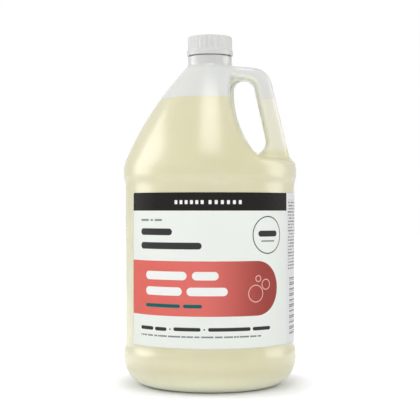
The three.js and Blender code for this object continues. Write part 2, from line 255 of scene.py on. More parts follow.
def look_up(table, x, z):
    """Value of a table at (x, z), blended between the four table points round it."""
    u = np.clip(x / TABLE_STEP, 0, len(TABLE_X) - 1.001)
    v = np.clip((z - TABLE_Z[0]) / TABLE_STEP, 0, len(TABLE_Z) - 1.001)
    i, j = u.astype(int), v.astype(int)
    u, v = u - i, v - j
    low = table[i, j] * (1 - u) + table[i + 1, j] * u
    high = table[i, j + 1] * (1 - u) + table[i + 1, j + 1] * u
    return low * (1 - v) + high * v


def upper_outline():
    """Body outline (radius, height) from the shoulder band to the neck, as a chain of Bezier curves."""
    return np.concatenate([
        straight((BAND_RADIUS, OUTLINE_BOTTOM), (BAND_RADIUS, SHOULDER_TOP), 2),
        bezier([(BAND_RADIUS, SHOULDER_TOP), ROLL_KNEE, ROLL_END], 60)[1:],
        bezier([ROLL_END, CONE_BULGE, CONE_END], 300)[1:],
        bezier([CONE_END, NECK_KNEE, (NECK_RADIUS, NECK_BOTTOM)], 40)[1:],
        straight((NECK_RADIUS, NECK_BOTTOM), (NECK_RADIUS, OUTLINE_TOP), 2)[1:],
    ])


outline_z = np.arange(OUTLINE_BOTTOM, OUTLINE_TOP, 0.25)
upper = upper_outline()
outline_radius = np.interp(outline_z, upper[:, 1], upper[:, 0])
outline_slant = 1 / np.hypot(1, np.gradient(outline_radius, outline_z))


def upper_field(x, y, z):
    """Field of the jug's upper half, about the distance to its skin and negative inside.

    The turned body is its outline's distance, cut by the scoop. The handle's section at each place of its
    plane is a rounded square between the inner and outer edge. The web is a thin plate round the finger
    hole. They are joined with fillets, and the hole is kept clear.
    """
    side = (np.hypot(x, y) - np.interp(z, outline_z, outline_radius)) * np.interp(z, outline_z, outline_slant)
    edge = SHELF_ROUND + (SCOOP_ROUND - SHELF_ROUND) * eased(z, *SHELF_BLEND)
    body = soft_max(side, look_up(scoop_table, x, z), edge)
    outer, inner = look_up(outer_table, x, z), look_up(inner_table, x, z)
    across = np.abs(inner - outer) / np.maximum(outer + inner, GRIP_LEAST_DEPTH)
    power = GRIP_SQUARENESS
    section = (across ** power + np.abs(y / GRIP_HALF_WIDTH) ** power) ** (1 / power)
    handle = (section - 1) * GRIP_SCALE + GRIP_SINK * eased(z, *GRIP_FADE)
    handle = np.maximum(handle, GRIP_ROOT - x)
    hole = look_up(hole_table, x, z)
    web = soft_max(np.maximum(-hole, hole - WEB_WIDTH), np.abs(y) - WEB_HALF_THICKNESS, WEB_EDGE)
    fillet = GRIP_FILLET + (FOOT_FILLET - GRIP_FILLET) * eased(z, *FOOT_BLEND)
    fillet = fillet + (NECK_FILLET - GRIP_FILLET) * eased(z, *NECK_BLEND)
    skin = soft_min(soft_min(body, handle, fillet), web, WEB_FILLET)
    return soft_max(skin, -hole, HOLE_EDGE)


def soap_field(x, y, z):
    """Field of the soap's upper half: the jug's skin moved in by the wall and cut flat at the fill level."""
    return np.maximum(upper_field(x, y, z) + SOAP_INSET, z - FILL_LEVEL)


def slope(field, p, reach=0.3):
    """Gradient of a field by central differences."""
    steps = np.eye(3) * reach
    return np.stack([field(*(p + s).T) - field(*(p - s).T) for s in steps], 1) / (2 * reach)


def contour(values, low, step):
    """Skin where a field on a box grid changes sign.

    Each cell that the skin crosses holds one point, the mean of the crossings on its edges, and each
    crossed grid edge has one quad through the four cells round it. Returns points, quads and cell rows.
    """
    inside = values < 0
    cells = tuple(n - 1 for n in values.shape)
    total, count = np.zeros(cells + (3,)), np.zeros(cells)
    index = np.indices(cells)
    crossings = []
    for axis in range(3):
        u, v = (axis + 1) % 3, (axis + 2) % 3
        start, end = (np.take(values, range(k, values.shape[axis] - 1 + k), axis) for k in (0, 1))
        crossed = (start < 0) != (end < 0)
        place = np.where(crossed, start / np.where(crossed, start - end, 1), 0)
        crossings.append(crossed)
        for du, dv in ((0, 0), (1, 0), (0, 1), (1, 1)):
            window = [slice(None)] * 3
            window[u] = slice(du, du + cells[u])
            window[v] = slice(dv, dv + cells[v])
            hit = crossed[tuple(window)]
            total[..., axis] += hit * (index[axis] + place[tuple(window)])
            total[..., u] += hit * (index[u] + du)
            total[..., v] += hit * (index[v] + dv)
            count += hit
    used = count > 0
    number = np.full(cells, -1)
    number[used] = np.arange(used.sum())
    points = low + step * total[used] / count[used][:, None]
    quads = []
    for axis, crossed in enumerate(crossings):
        u, v = (axis + 1) % 3, (axis + 2) % 3
        place = np.argwhere(crossed)
        for k in (u, v):
            place = place[(place[:, k] > 0) & (place[:, k] < cells[k])]
        ring = []
        for du, dv in ((-1, -1), (0, -1), (0, 0), (-1, 0)):
            cell = place.copy()
            cell[:, u] += du
            cell[:, v] += dv
            ring.append(number[tuple(cell.T)])
        quad = np.stack(ring, 1)
        outward = inside[tuple(place.T)]
        quads.append(np.where(outward[:, None], quad, quad[:, ::-1]))
    return points, np.concatenate(quads), np.argwhere(used)


def field_skin(field, step, cells):
    """Skin of a field: its contour, moved onto the field's zero by Newton steps."""
    axes = [low + step * np.arange(n + 1) for low, n in zip(SKIN_LOW, cells)]
    points, quads, rows = contour(field(*np.meshgrid(*axes, indexing="ij", sparse=True)), SKIN_LOW, step)
    for _ in range(4):
        gradient = slope(field, points)
        share = field(*points.T) / np.maximum((gradient ** 2).sum(1), 0.1)
        points = points - np.clip(share[:, None] * gradient, -step, step)
    return points, quads, rows


def level_ring(points, rows, row, step, radius):
    """Point numbers and angles of a skin's end row in turning order, after it is set on a level circle."""
    ring = np.flatnonzero(rows[:, 2] == row)
    middle = SKIN_LOW[:2] + step * (rows[ring, :2] + 0.5)
    ring = ring[np.argsort(np.arctan2(middle[:, 1], middle[:, 0]))]
    angle = np.sort(np.arctan2(points[ring, 1], points[ring, 0]))
    height = SKIN_LOW[2] + step * (row + 0.5)
    points[ring] = turned((np.array([[radius]]), np.array([[height]])), angle)[0]
    return ring, angle


def ring_quads(numbers):
    """Quads between the rows of a table of point numbers whose columns close into a ring."""
    ahead = np.roll(numbers, -1, axis=1)
    return np.stack([numbers[:-1], ahead[:-1], ahead[1:], numbers[1:]], 2).reshape(-1, 4)


def pole_triangles(ring, pole):
    """Fan from a ring of point numbers to one point, turned as ring_quads turns a further row."""
    return np.stack([ring, np.roll(ring, -1), np.full(len(ring), pole)], 1)


def turned(rows, angle):
    """Points of a turned surface: each row (radius, height) at each angle."""
    radius, height = np.broadcast_arrays(rows[0], rows[1])
    radius = np.broadcast_to(radius, (len(radius), len(angle)))
    height = np.broadcast_to(height, (len(height), len(angle)))
    return np.stack([radius * np.cos(angle), radius * np.sin(angle), height], 2)


def make_piece(name, points, quads, triangles=np.zeros((0, 3), int)):
    """Object from points in millimetres and faces as rows of point numbers."""
    corners = np.concatenate([quads.ravel(), triangles.ravel()]).astype(np.int32)
    sizes = np.concatenate([np.full(len(quads), 4), np.full(len(triangles), 3)])
    mesh = bpy.data.meshes.new(name)
    mesh.vertices.add(len(points))
    mesh.vertices.foreach_set("co", (points * MM).astype(np.float32).ravel())
    mesh.loops.add(len(corners))
    mesh.loops.foreach_set("vertex_index", corners)
    mesh.polygons.add(len(sizes))
    mesh.polygons.foreach_set("loop_start", (np.cumsum(sizes) - sizes).astype(np.int32))
    mesh.polygons.foreach_set("use_smooth", np.ones(len(sizes), bool))
    mesh.update(calc_edges=True)
    mesh.validate()
    piece = bpy.data.objects.new(name, mesh)
    bpy.context.scene.collection.objects.link(piece)
    return piece


def thread_height(angle, z, start, turns):
    """Height of a right-hand screw ridge over a cylinder.

    The distance along the axis to the nearest turn of the helix z = start + lead * turn gives a rounded
    trapezium, which fades out at both ends of the thread.
    """
    lap = angle / TURN
    turn = lap + np.round((z - start) / LEAD - lap)
    off = np.abs(z - start - LEAD * turn)
    ridge = smooth((THREAD_FOOT - off) / (THREAD_FOOT - THREAD_CREST))
    return THREAD_HEIGHT * ridge * smooth(np.minimum(turn, turns - turn) / THREAD_RUNOUT)


# Grids on which the skins of jug and soap are found
SKIN_STEP = 1.3
SKIN_LOW = np.array([-80.6, -80.6, 187.0])
SKIN_CELLS = (124, 124, 77)
SOAP_STEP = 2.015
SOAP_CELLS = (80, 80, 34)
SOAP_REACH = 33.0  # soap this deep shows about two thirds of its full colour
SOAP_DEEPEST = 150.0
PROBE_STEP = 1.5  # spacing and end of the places looked at behind each point
PROBE_END = 75.0
DEPTH_BLUR = 14  # times that each point takes the mean of the faces round it


def soap_depth(points, normals):
    """Share of the soap's full colour: 1 - exp(-depth / reach), with the depth measured inwards."""
    reach = np.arange(PROBE_STEP, PROBE_END, PROBE_STEP)
    probe = points[:, None] - normals[:, None] * reach[None, :, None]
    outside = upper_field(*probe.reshape(-1, 3).T).reshape(len(points), -1) > 0
    outside &= probe[..., 2] > SKIN_LOW[2]
    first = np.where(outside.any(1), reach[np.argmax(outside, 1)], SOAP_DEEPEST)
    return 1 - np.exp(-first / SOAP_REACH)


def heel_line(count, drop):
    """Quarter ellipse (radius, height) from the lower band in to the foot and down by the drop."""
    angle = np.linspace(0, -math.pi / 2, count)[:, None]
    reach = BAND_RADIUS - FOOT_OUTER_RADIUS
    return np.concatenate([FOOT_OUTER_RADIUS + reach * np.cos(angle), HEEL_TOP + drop * np.sin(angle)], 1)


def jug_skin():
    """Whole skin of the blown jug as one closed surface.

    The shoulder, cone, scoop and handle are the contour of upper_field, moved onto it by Newton steps.
    Below it the body, heel, foot and pushed-up base are turned on the contour's own bottom ring, and above
    it the neck, threaded finish, lip and bore are turned on its top ring.
    """
    points, quads, rows = field_skin(upper_field, SKIN_STEP, SKIN_CELLS)
    gradient = slope(upper_field, points)
    depth = soap_depth(points, gradient / np.linalg.norm(gradient, axis=1)[:, None])
    share = np.bincount(quads.ravel(), minlength=len(points))
    for _ in range(DEPTH_BLUR):
        depth = np.bincount(quads.ravel(), np.repeat(depth[quads].mean(1), 4), len(points)) / share
    # Painted light: the flange round the finger hole and the handle's inner side are marked to be painted
    # paler, lifting the shade where they face into the hole.
    hole = look_up(hole_table, points[:, 0], points[:, 2])
    inner = look_up(inner_table, points[:, 0], points[:, 2])
    aside = np.abs(points[:, 1])
    rim = smooth((RIM_REACH - hole) / RIM_SOFT) * smooth((RIM_HALF_WIDTH - aside) / RIM_SIDE_SOFT)
    palm_painted_light = smooth((RIM_REACH - inner) / PALM_SOFT) * smooth(PALM_OVERLAP + inner)
    palm_painted_light = palm_painted_light * smooth(GRIP_HALF_WIDTH + PALM_OVERLAP - aside)
    rim = np.maximum(rim, palm_painted_light * eased(points[:, 2], *PALM_FOOT) * (points[:, 0] > 0))
    low_ring, low_angle = level_ring(points, rows, 0, SKIN_STEP, BAND_RADIUS)
    high_ring, high_angle = level_ring(points, rows, SKIN_CELLS[2] - 1, SKIN_STEP, NECK_RADIUS)

    middle = (PANEL_TOP + SHOULDER_BOTTOM) / 2
    lower_middle = (HEEL_BAND_TOP + PANEL_BOTTOM) / 2
    lower = np.concatenate([
        bezier([(BAND_RADIUS, SHOULDER_BOTTOM), (BAND_RADIUS, middle),
                (PANEL_RADIUS, middle), (PANEL_RADIUS, PANEL_TOP)], 14),
        straight((PANEL_RADIUS, PANEL_TOP), (PANEL_RADIUS, PANEL_BOTTOM), 10)[1:],
        bezier([(PANEL_RADIUS, PANEL_BOTTOM), (PANEL_RADIUS, lower_middle),
                (BAND_RADIUS, lower_middle), (BAND_RADIUS, HEEL_BAND_TOP)], 12)[1:],
        heel_line(23, HEEL_TOP),
        bezier([(FOOT_OUTER_RADIUS, 0), (FOOT_INNER_RADIUS, -0.02), (FOOT_INNER_RADIUS, FOOT_LIP)], 9)[1:],
        bezier([(FOOT_INNER_RADIUS, FOOT_LIP), (FOOT_INNER_RADIUS, PUSH_UP_HEIGHT),
                (PUSH_UP_RADIUS, PUSH_UP_HEIGHT)], 8)[1:],
        straight((PUSH_UP_RADIUS, PUSH_UP_HEIGHT), (BASE_EYE_RADIUS, PUSH_UP_HEIGHT), 13)[1:],
    ])
    lower_points = turned((lower[:, :1], np.maximum(lower[:, 1:], 0)), low_angle)
    scar = smooth((SCAR_WIDTH - np.abs(lower_points[..., 1])) / SCAR_EDGE)
    scar = scar * smooth((SCAR_LENGTH - np.abs(lower_points[..., 0])) / SCAR_FADE)
    lower_points[..., 2] -= SCAR_HEIGHT * scar * (lower_points[..., 2] > PUSH_UP_HEIGHT - 0.5)
    base_pole = np.array([[0, 0, PUSH_UP_HEIGHT - SCAR_HEIGHT]])

    finish_z = np.arange(*FINISH_HEIGHTS, THREAD_ROW)
    finish = np.stack([np.full_like(finish_z, FINISH_RADIUS), finish_z], 1)
    neck = np.concatenate([
        [(NECK_RADIUS, 288.4), (NECK_RADIUS, 289.2), (NECK_RADIUS - 0.12, 289.6),
         (NECK_RADIUS - 0.45, NECK_TOP)],
        [(FINISH_RADIUS + 0.5, NECK_TOP), (FINISH_RADIUS + 0.12, NECK_TOP + 0.12)],
        finish,
        bezier([(FINISH_RADIUS, 303.6), (FINISH_RADIUS, MOUTH), (16.6, MOUTH)], 5),
        bezier([(16.2, MOUTH), (BORE_RADIUS, MOUTH), (BORE_RADIUS, 303.5)], 5),
        straight((BORE_RADIUS, 302.0), (BORE_RADIUS, BORE_END), 4),
    ])
    neck_radius = np.repeat(neck[:, :1], len(high_angle), 1)
    ridge = thread_height(high_angle[None], neck[:, 1:], NECK_THREAD_START, NECK_THREAD_TURNS)
    neck_radius = neck_radius + ridge * (neck[:, :1] == FINISH_RADIUS)
    neck_points = turned((neck_radius, neck[:, 1:]), high_angle)
    bore_pole = np.array([[0, 0, BORE_END]])

    first = len(points)
    lower_numbers = first + np.arange(lower_points[..., 0].size).reshape(lower_points.shape[:2])
    first += lower_numbers.size
    neck_numbers = first + np.arange(neck_points[..., 0].size).reshape(neck_points.shape[:2])
    first += neck_numbers.size
    lower_quads = ring_quads(np.concatenate([low_ring[None], lower_numbers]))[:, ::-1]
    neck_quads = ring_quads(np.concatenate([high_ring[None], neck_numbers]))
    poles = np.concatenate([
        pole_triangles(lower_numbers[-1], first)[:, ::-1],
        pole_triangles(neck_numbers[-1], first + 1),
    ])
    every = np.concatenate([points, lower_points.reshape(-1, 3), neck_points.reshape(-1, 3),
                            base_pole, bore_pole])
    piece = make_piece("blown_jug", every, np.concatenate([quads, lower_quads, neck_quads]), poles)
    full = 1 - math.exp(-SOAP_DEEPEST / SOAP_REACH)
    for name, share, rest in (("soap_depth", depth, full), ("hole_painted_light", rim, 0.0)):
        share = np.concatenate([share, np.full(len(every) - len(share), rest)]).astype(np.float32)
        piece.data.attributes.new(name, "FLOAT", "POINT").data.foreach_set("value", share)
    return piece


def soap_body():
    """Soap as one closed surface: the contour of soap_field, and the body turned on its bottom ring."""
    points, quads, rows = field_skin(soap_field, SOAP_STEP, SOAP_CELLS)
    ring, angle = level_ring(points, rows, 0, SOAP_STEP, BAND_RADIUS - SOAP_INSET)
    floor = PUSH_UP_HEIGHT + SOAP_INSET
    outline = np.concatenate([
        [(BAND_RADIUS, SHOULDER_BOTTOM), (PANEL_RADIUS, PANEL_TOP), (PANEL_RADIUS, PANEL_BOTTOM),
         (BAND_RADIUS, HEEL_BAND_TOP)],
        heel_line(12, HEEL_TOP - SOAP_INSET),
        [(FOOT_INNER_RADIUS, SOAP_INSET), (PUSH_UP_RADIUS, floor), (8, floor)],
    ])
    body = turned((outline[:, :1] - SOAP_INSET, outline[:, 1:]), angle)
    numbers = len(points) + np.arange(body[..., 0].size).reshape(body.shape[:2])
    pole = len(points) + numbers.size
    every = np.concatenate([points, body.reshape(-1, 3), [[0, 0, floor]]])
    sides = ring_quads(np.concatenate([ring[None], numbers]))[:, ::-1]
    base = pole_triangles(numbers[-1], pole)[:, ::-1]
    return make_piece("soap_body", every, np.concatenate([quads, sides]), base)


def cap_surface():
    """Cap as one turned profile: from the roof's underside out, down the threaded bore, round the rim, up the
    skirt and the ribbed wall and over the top. Grooves between the ribs are a raised cosine to a power."""
    angle = np.arange(RIB_COUNT * RIB_COLUMNS) * TURN / (RIB_COUNT * RIB_COLUMNS)
    bore_z = np.arange(*CAP_BORE_HEIGHTS, -THREAD_ROW)
    edge = np.linspace(0, math.pi / 2, 9)[:, None]
    edge = np.concatenate([
        CAP_WALL_RADIUS - CAP_EDGE_ROUND * (1 - np.cos(edge)),
        CAP_TOP - CAP_EDGE_ROUND * (1 - np.sin(edge)),
    ], 1)
    wall_top = CAP_TOP - CAP_EDGE_ROUND
    profile = np.concatenate([
        [(4, CAP_ROOF), (11, CAP_ROOF), (17.8, CAP_ROOF), (18.3, CAP_ROOF - 0.06), (18.5, CAP_ROOF - 0.25)],
        np.stack([np.full_like(bore_z, CAP_BORE), bore_z], 1),
        bezier([(CAP_BORE + 0.01, 291.1), (CAP_BORE + 0.1, CAP_BOTTOM), (19.2, CAP_BOTTOM)], 5),
        bezier([(20.0, CAP_BOTTOM), (CAP_SKIRT_RADIUS, CAP_BOTTOM), (CAP_SKIRT_RADIUS, 291.0)], 6),
        straight((CAP_SKIRT_RADIUS, 292.0), (CAP_SKIRT_RADIUS - 0.06, 294.5), 4),
        bezier([(CAP_SKIRT_RADIUS - 0.06, 294.8), (CAP_SKIRT_RADIUS - 0.08, CAP_SKIRT_TOP),
                (19.95, CAP_SKIRT_TOP)], 6),
        bezier([(19.85, CAP_SKIRT_TOP + 0.02), (CAP_WALL_RADIUS + 0.01, CAP_SKIRT_TOP + 0.03),
                (CAP_WALL_RADIUS, 295.6)], 4),
        straight((CAP_WALL_RADIUS, 295.9), (CAP_WALL_RADIUS, wall_top - 0.4), 16),
        edge,
        [(17.4, CAP_TOP), (16.7, CAP_TOP - 0.03), (16.2, CAP_TOP - 0.2), (15.7, CAP_TOP - 0.28)],
        straight((15.0, CAP_TOP - 0.3), (1.9, CAP_TOP - 0.3), 8),
        [(1.4, CAP_TOP - 0.24), (1.0, CAP_TOP - 0.12), (0.5, CAP_TOP - 0.1)],
    ])
    radius, height = profile[:, :1], profile[:, 1:]
    row = np.arange(len(profile))[:, None]
    outside = row > np.argmax(profile[:, 0])
    bore = (radius == CAP_BORE) & ~outside
    groove = (0.5 + 0.5 * np.cos(RIB_COUNT * angle)) ** GROOVE_POWER
    ribbed = smooth((height - RIB_BOTTOM) / RIB_RUNOUT)
    ribbed = ribbed * smooth((CAP_TOP - RIB_TOP_GAP - height) / RIB_RUNOUT)
    ribbed = ribbed * outside * (radius > RIB_INNER_RADIUS)
    ridge = thread_height(angle[None], height, CAP_THREAD_START, CAP_THREAD_TURNS)
    radius = radius - RIB_DEPTH * groove[None] * ribbed - ridge * bore
    points = turned((radius, height), angle)
    numbers = np.arange(points[..., 0].size).reshape(points.shape[:2])
    poles = np.array([[0, 0, CAP_ROOF], [0, 0, CAP_TOP - 0.1]])
    triangles = np.concatenate([
        pole_triangles(numbers[0], numbers.size)[:, ::-1],
        pole_triangles(numbers[-1], numbers.size + 1),
    ])
    every = np.concatenate([points.reshape(-1, 3), poles])
    return make_piece("ribbed_cap", every, ring_quads(numbers), triangles)


def label_sheet():
    """Label as a thin curved sheet: arc and height are the two parameters, and each row is shortened near the
    top and bottom so that the corners are round. A map unrolls the printed side."""
    rise = np.concatenate([np.linspace(0, LABEL_CORNER, 7), LABEL_EDGE_ROWS])
    height = LABEL_TOP - LABEL_BOTTOM
    between = np.linspace(rise[-1], height - rise[-1], LABEL_ROWS - 2 * len(rise))[1:-1]
    rise = np.concatenate([rise, between, height - rise[::-1]])
    from_edge = np.minimum(np.minimum(rise, height - rise), LABEL_CORNER)
    inset = LABEL_CORNER - np.sqrt(LABEL_CORNER ** 2 - (LABEL_CORNER - from_edge) ** 2)
    trim = (inset / LABEL_RADIUS)[:, None]
    share = np.linspace(0, 1, LABEL_COLUMNS)[None]
    angle = LABEL_START + trim + (LABEL_SWEEP - 2 * trim) * share
    tall = np.broadcast_to(LABEL_BOTTOM + rise[:, None], angle.shape)
    sides = [np.stack([r * np.sin(angle), -r * np.cos(angle), tall], 2)
             for r in (LABEL_RADIUS, LABEL_RADIUS - LABEL_THICKNESS)]
    numbers = np.arange(angle.size).reshape(angle.shape)

    def patch(n):
        return np.stack([n[:-1, :-1], n[:-1, 1:], n[1:, 1:], n[1:, :-1]], 2).reshape(-1, 4)

    rim = np.concatenate([numbers[0], numbers[1:, -1], numbers[-1, -2::-1], numbers[-2:0:-1, 0]])
    border = ring_quads(np.stack([rim + angle.size, rim]))
    front, back = patch(numbers), patch(numbers + angle.size)[:, ::-1]
    piece = make_piece("printed_label", np.concatenate([s.reshape(-1, 3) for s in sides]),
                       np.concatenate([front, back, border]))
    flat = np.stack(np.broadcast_arrays(share, rise[:, None] / height), 2).reshape(-1, 2)
    along = np.repeat(np.linspace(0, 0.998, len(border)), 4)
    spread = np.concatenate([
        flat[front.ravel()] * (1, MAP_PRINT[1]) + (0, MAP_PRINT[0]),
        flat[back.ravel() - angle.size] * (1, MAP_BACK_HEIGHT),
        np.stack([along + np.tile([0, 0.001, 0.001, 0], len(border)),
                  np.tile(np.repeat(MAP_RIM, 2), len(border))], 1),
    ])
    unrolled = piece.data.uv_layers.new(name="OFBake")
    unrolled.uv.foreach_set("vector", spread.astype(np.float32).ravel())
    return piece


MIX_INPUTS = (0, 6, 7)  # the Mix node's sockets for the share and the two colours
MIX_OUTPUT = 2


class Finish:
    """A material's nodes, written as calls that take sockets or plain numbers and give sockets."""

    def __init__(self, name):
        self.material = bpy.data.materials.new(name)
        self.material.use_nodes = True
        self.tree = self.material.node_tree
        self.shader = self.tree.nodes["Principled BSDF"]
        self.place = self.tree.nodes.new("ShaderNodeTexCoord").outputs["Object"]
        split = self.node("ShaderNodeSeparateXYZ", [self.place])
        self.x, self.y, self.z = split.outputs

    def node(self, kind, inputs=(), **settings):
        made = self.tree.nodes.new(kind)
        for name, value in settings.items():
            setattr(made, name, value)
        for key, value in inputs.items() if isinstance(inputs, dict) else enumerate(inputs):
            self.feed(made.inputs[key], value)
        return made

    def feed(self, socket, value):
        """Link a socket to another, or set a plain value on it."""
        if isinstance(value, bpy.types.NodeSocket):
            self.tree.links.new(value, socket)
        elif value is not None:
            socket.default_value = value

    def math(self, operation, *inputs):
        return self.node("ShaderNodeMath", inputs, operation=operation).outputs[0]

    def ramp(self, value, start, end, low=0.0, high=1.0):
        """Value eased from low at start to high at end."""
        inputs = {"Value": value, "From Min": start, "From Max": end, "To Min": low, "To Max": high}
        return self.node("ShaderNodeMapRange", inputs, interpolation_type="SMOOTHSTEP").outputs[0]

    def mix(self, share, below, above):
        """The first colour where the share is 0, the second where it is 1."""
        made = self.node("ShaderNodeMix", data_type="RGBA")
        for at, value in zip(MIX_INPUTS, (share, below, above)):
            self.feed(made.inputs[at], value)
        return made.outputs[MIX_OUTPUT]

    def noise(self, scale, detail=3.0, stretch=None):
        place = self.place
        if stretch:
            place = self.node("ShaderNodeMapping", {"Vector": place, "Scale": stretch}).outputs[0]
        return self.node("ShaderNodeTexNoise", {"Vector": place, "Scale": scale, "Detail": detail}).outputs[0]

    def bump(self, height, distance, strength=1.0, under=None):
        inputs = {"Height": height, "Distance": distance, "Strength": strength, "Normal": under}
        return self.node("ShaderNodeBump", inputs).outputs[0]

    def set(self, **values):
        for name, value in values.items():
            self.feed(self.shader.inputs[name.replace("_", " ")], value)

    def on(self, *pieces):
        for piece in pieces:
            piece.data.materials.clear()
            piece.data.materials.append(self.material)


def tone(red, green, blue):
    """Screen colour in 0 to 255 as the linear colour that a shader takes."""
    levels = np.array([red, green, blue]) / 255
    linear = np.where(levels <= 0.04045, levels / 12.92, ((levels + 0.055) / 1.055) ** 2.4)
    return (*linear, 1.0)


MOTTLE = (0.3, 0.75)  # noise levels between which a mottled colour changes
EMPTY_WALL = tone(225, 226, 222)
EMPTY_THIN = tone(221, 222, 220)  # where there is only the hollow handle behind the wall
NECK_WALL = tone(209, 210, 205)  # darker wall from the neck's foot upwards
SOAP_WALL = tone(225, 221, 186)
SOAP_DEEP = tone(221, 216, 177)
SOAP_THIN = tone(232, 231, 220)
BASE_PAINTED_GLOW = tone(255, 254, 228)  # painted light: the foot is lightened in colour where the floor's light would come through
BUBBLE = tone(240, 238, 214)
FLOW_MARK = tone(246, 246, 240)
BODY_SCATTER = 2.5 * MM
HANDLE_SCATTER = 9.0 * MM  # light comes through the hollow handle from behind
RIM_PAINTED_LIGHT = tone(240, 241, 232)  # flange on the parting line round the finger hole and the handle's inner side: partly their pale plastic, partly painted light that lifts the shade in the hole
RIM_STRENGTH = 0.8
FILL_EDGE = 0.35  # half of the fill line's softness
# height under which the foot's colour is lightened, a painted glow
BASE_PAINTED_GLOW_TOP = 22.0
NECK_TONE_HEIGHTS = (277.0, 284.0)
HANDLE_DEPTHS = (0.35, 0.85)  # shares of the soap's colour that tell the hollow handle from the body
SEAM_HALF_WIDTHS = (0.55, 0.1)  # of the parting line's ridge, at its foot and its crest
CAP_WHITE = tone(217, 217, 214)
CAP_CLOUD = tone(211, 212, 209)
CAP_SPECK = tone(205, 205, 202)
MARK_PITCH = 0.6  # turning marks on the cap's top
MARK_HEIGHTS = (306.95, 307.1)  # they begin between these heights
FOAM_SKIN = tone(226, 226, 221)
FOAM_CELL = tone(242, 242, 238)


def blown_polyethylene():
    """Milky natural polyethylene with flow streaks from the blowing, a fine peel and the parting line.

    Soap shows through below the fill line, stronger where it is deep.
    """
    f = Finish("blown_polyethylene")
    depth = f.node("ShaderNodeAttribute", attribute_name="soap_depth").outputs["Fac"]
    filled = f.ramp(f.z, (FILL_LEVEL + FILL_EDGE) * MM, (FILL_LEVEL - FILL_EDGE) * MM)
    streaks = f.noise(9, 4, (6, 6, 0.7))
    cloud = f.noise(16, 2)
    soap = f.mix(f.ramp(cloud, *MOTTLE), SOAP_WALL, SOAP_DEEP)
    # Painted light: the soap colour is lightened towards the foot, standing in for the floor's light through
    # the base.
    soap = f.mix(f.ramp(f.z, BASE_PAINTED_GLOW_TOP * MM, 0.0), soap, BASE_PAINTED_GLOW)
    soap = f.mix(f.ramp(depth, 0.4, 0.9), SOAP_THIN, soap)
    empty = f.mix(f.ramp(f.z, *(height * MM for height in NECK_TONE_HEIGHTS)), EMPTY_WALL, NECK_WALL)
    empty = f.mix(f.ramp(depth, *HANDLE_DEPTHS), EMPTY_THIN, empty)
    wall = f.mix(filled, empty, soap)
    # Painted light: the flange round the hole and the handle's inner side are lightened against the shade in
    # the hole.
    rim = f.node("ShaderNodeAttribute", attribute_name="hole_painted_light").outputs["Fac"]
    wall = f.mix(f.math("MULTIPLY", rim, RIM_STRENGTH), wall, RIM_PAINTED_LIGHT)
    wall = f.mix(f.ramp(streaks, 0.35, 0.85, 0.0, 0.08), wall, FLOW_MARK)
    seam = f.ramp(f.math("ABSOLUTE", f.y), *(width * MM for width in SEAM_HALF_WIDTHS))
    facing = f.node("ShaderNodeLayerWeight", {"Blend": 0.5}).outputs["Facing"]
    gloss = f.ramp(f.math("MULTIPLY", facing, filled), 0.5, 0.9, 0.9, 0.15)
    peel = f.bump(f.noise(420, 2), 0.00004, 0.5)
    waves = f.bump(streaks, 0.0006, 0.12, peel)
    f.set(Base_Color=wall, Roughness=f.ramp(f.noise(60, 4), 0.25, 0.8, 0.225, 0.268),
          Normal=f.bump(seam, 0.00018, 0.8, waves))
    f.set(Subsurface_Weight=1.0, Subsurface_Radius=(1.0, 0.97, 0.8), IOR=1.54, Specular_IOR_Level=gloss,
          Subsurface_Scale=f.ramp(depth, *HANDLE_DEPTHS, HANDLE_SCATTER, BODY_SCATTER))
    return f


def cap_polypropylene():
    """White satin moulded cap with fine speckle and faint turning marks on its top."""
    f = Finish("cap_polypropylene")
    speckle = f.noise(900, 2)
    cloud = f.noise(70, 3)
    colour = f.mix(f.ramp(cloud, *MOTTLE), CAP_WHITE, CAP_CLOUD)
    colour = f.mix(f.ramp(speckle, 0.62, 0.8, 0.0, 0.12), colour, CAP_SPECK)
    reach = f.node("ShaderNodeVectorMath", [f.place, (1.0, 1.0, 0.0)], operation="MULTIPLY").outputs[0]
    reach = f.node("ShaderNodeVectorMath", [reach], operation="LENGTH").outputs["Value"]
    rings = f.math("SINE", f.math("MULTIPLY", reach, TURN / (MARK_PITCH * MM)))
    top = f.ramp(f.z, *(height * MM for height in MARK_HEIGHTS))
    marks = f.bump(f.math("MULTIPLY", rings, top), 0.00001, 0.5)
    f.set(Base_Color=colour, Roughness=f.ramp(f.noise(120, 4), 0.25, 0.8, 0.30, 0.40),
          Normal=f.bump(speckle, 0.00003, 0.4, marks))
    f.set(Subsurface_Weight=0.2, Subsurface_Radius=(0.9, 0.9, 0.85), Subsurface_Scale=0.0015, IOR=1.49)
    return f


INK = tone(42, 41, 39)
INK_SOFT = tone(62, 63, 62)
GREY_INK = tone(138, 142, 139)
CORAL_WARM = tone(228, 112, 102)
CORAL = tone(229, 119, 111)
CORAL_DEEP = tone(163, 77, 70)
PALE = tone(246, 248, 244)
BLUSH = tone(240, 184, 176)
TEAL = tone(26, 104, 104)
FILM = tone(240, 245, 238)
FILM_SIDE = tone(240, 238, 241)
PRINT_EDGE = 0.1  # softness of a printed edge, in millimetres
FRONT_END = (79.7, 80.0)  # arc where the front field ends
STRIP_BOTTOM = (153.5, 153.8)  # height where the dark strip along the top begins
WRAP_MARGIN = 0.3  # the label's arc is counted from this angle before its start

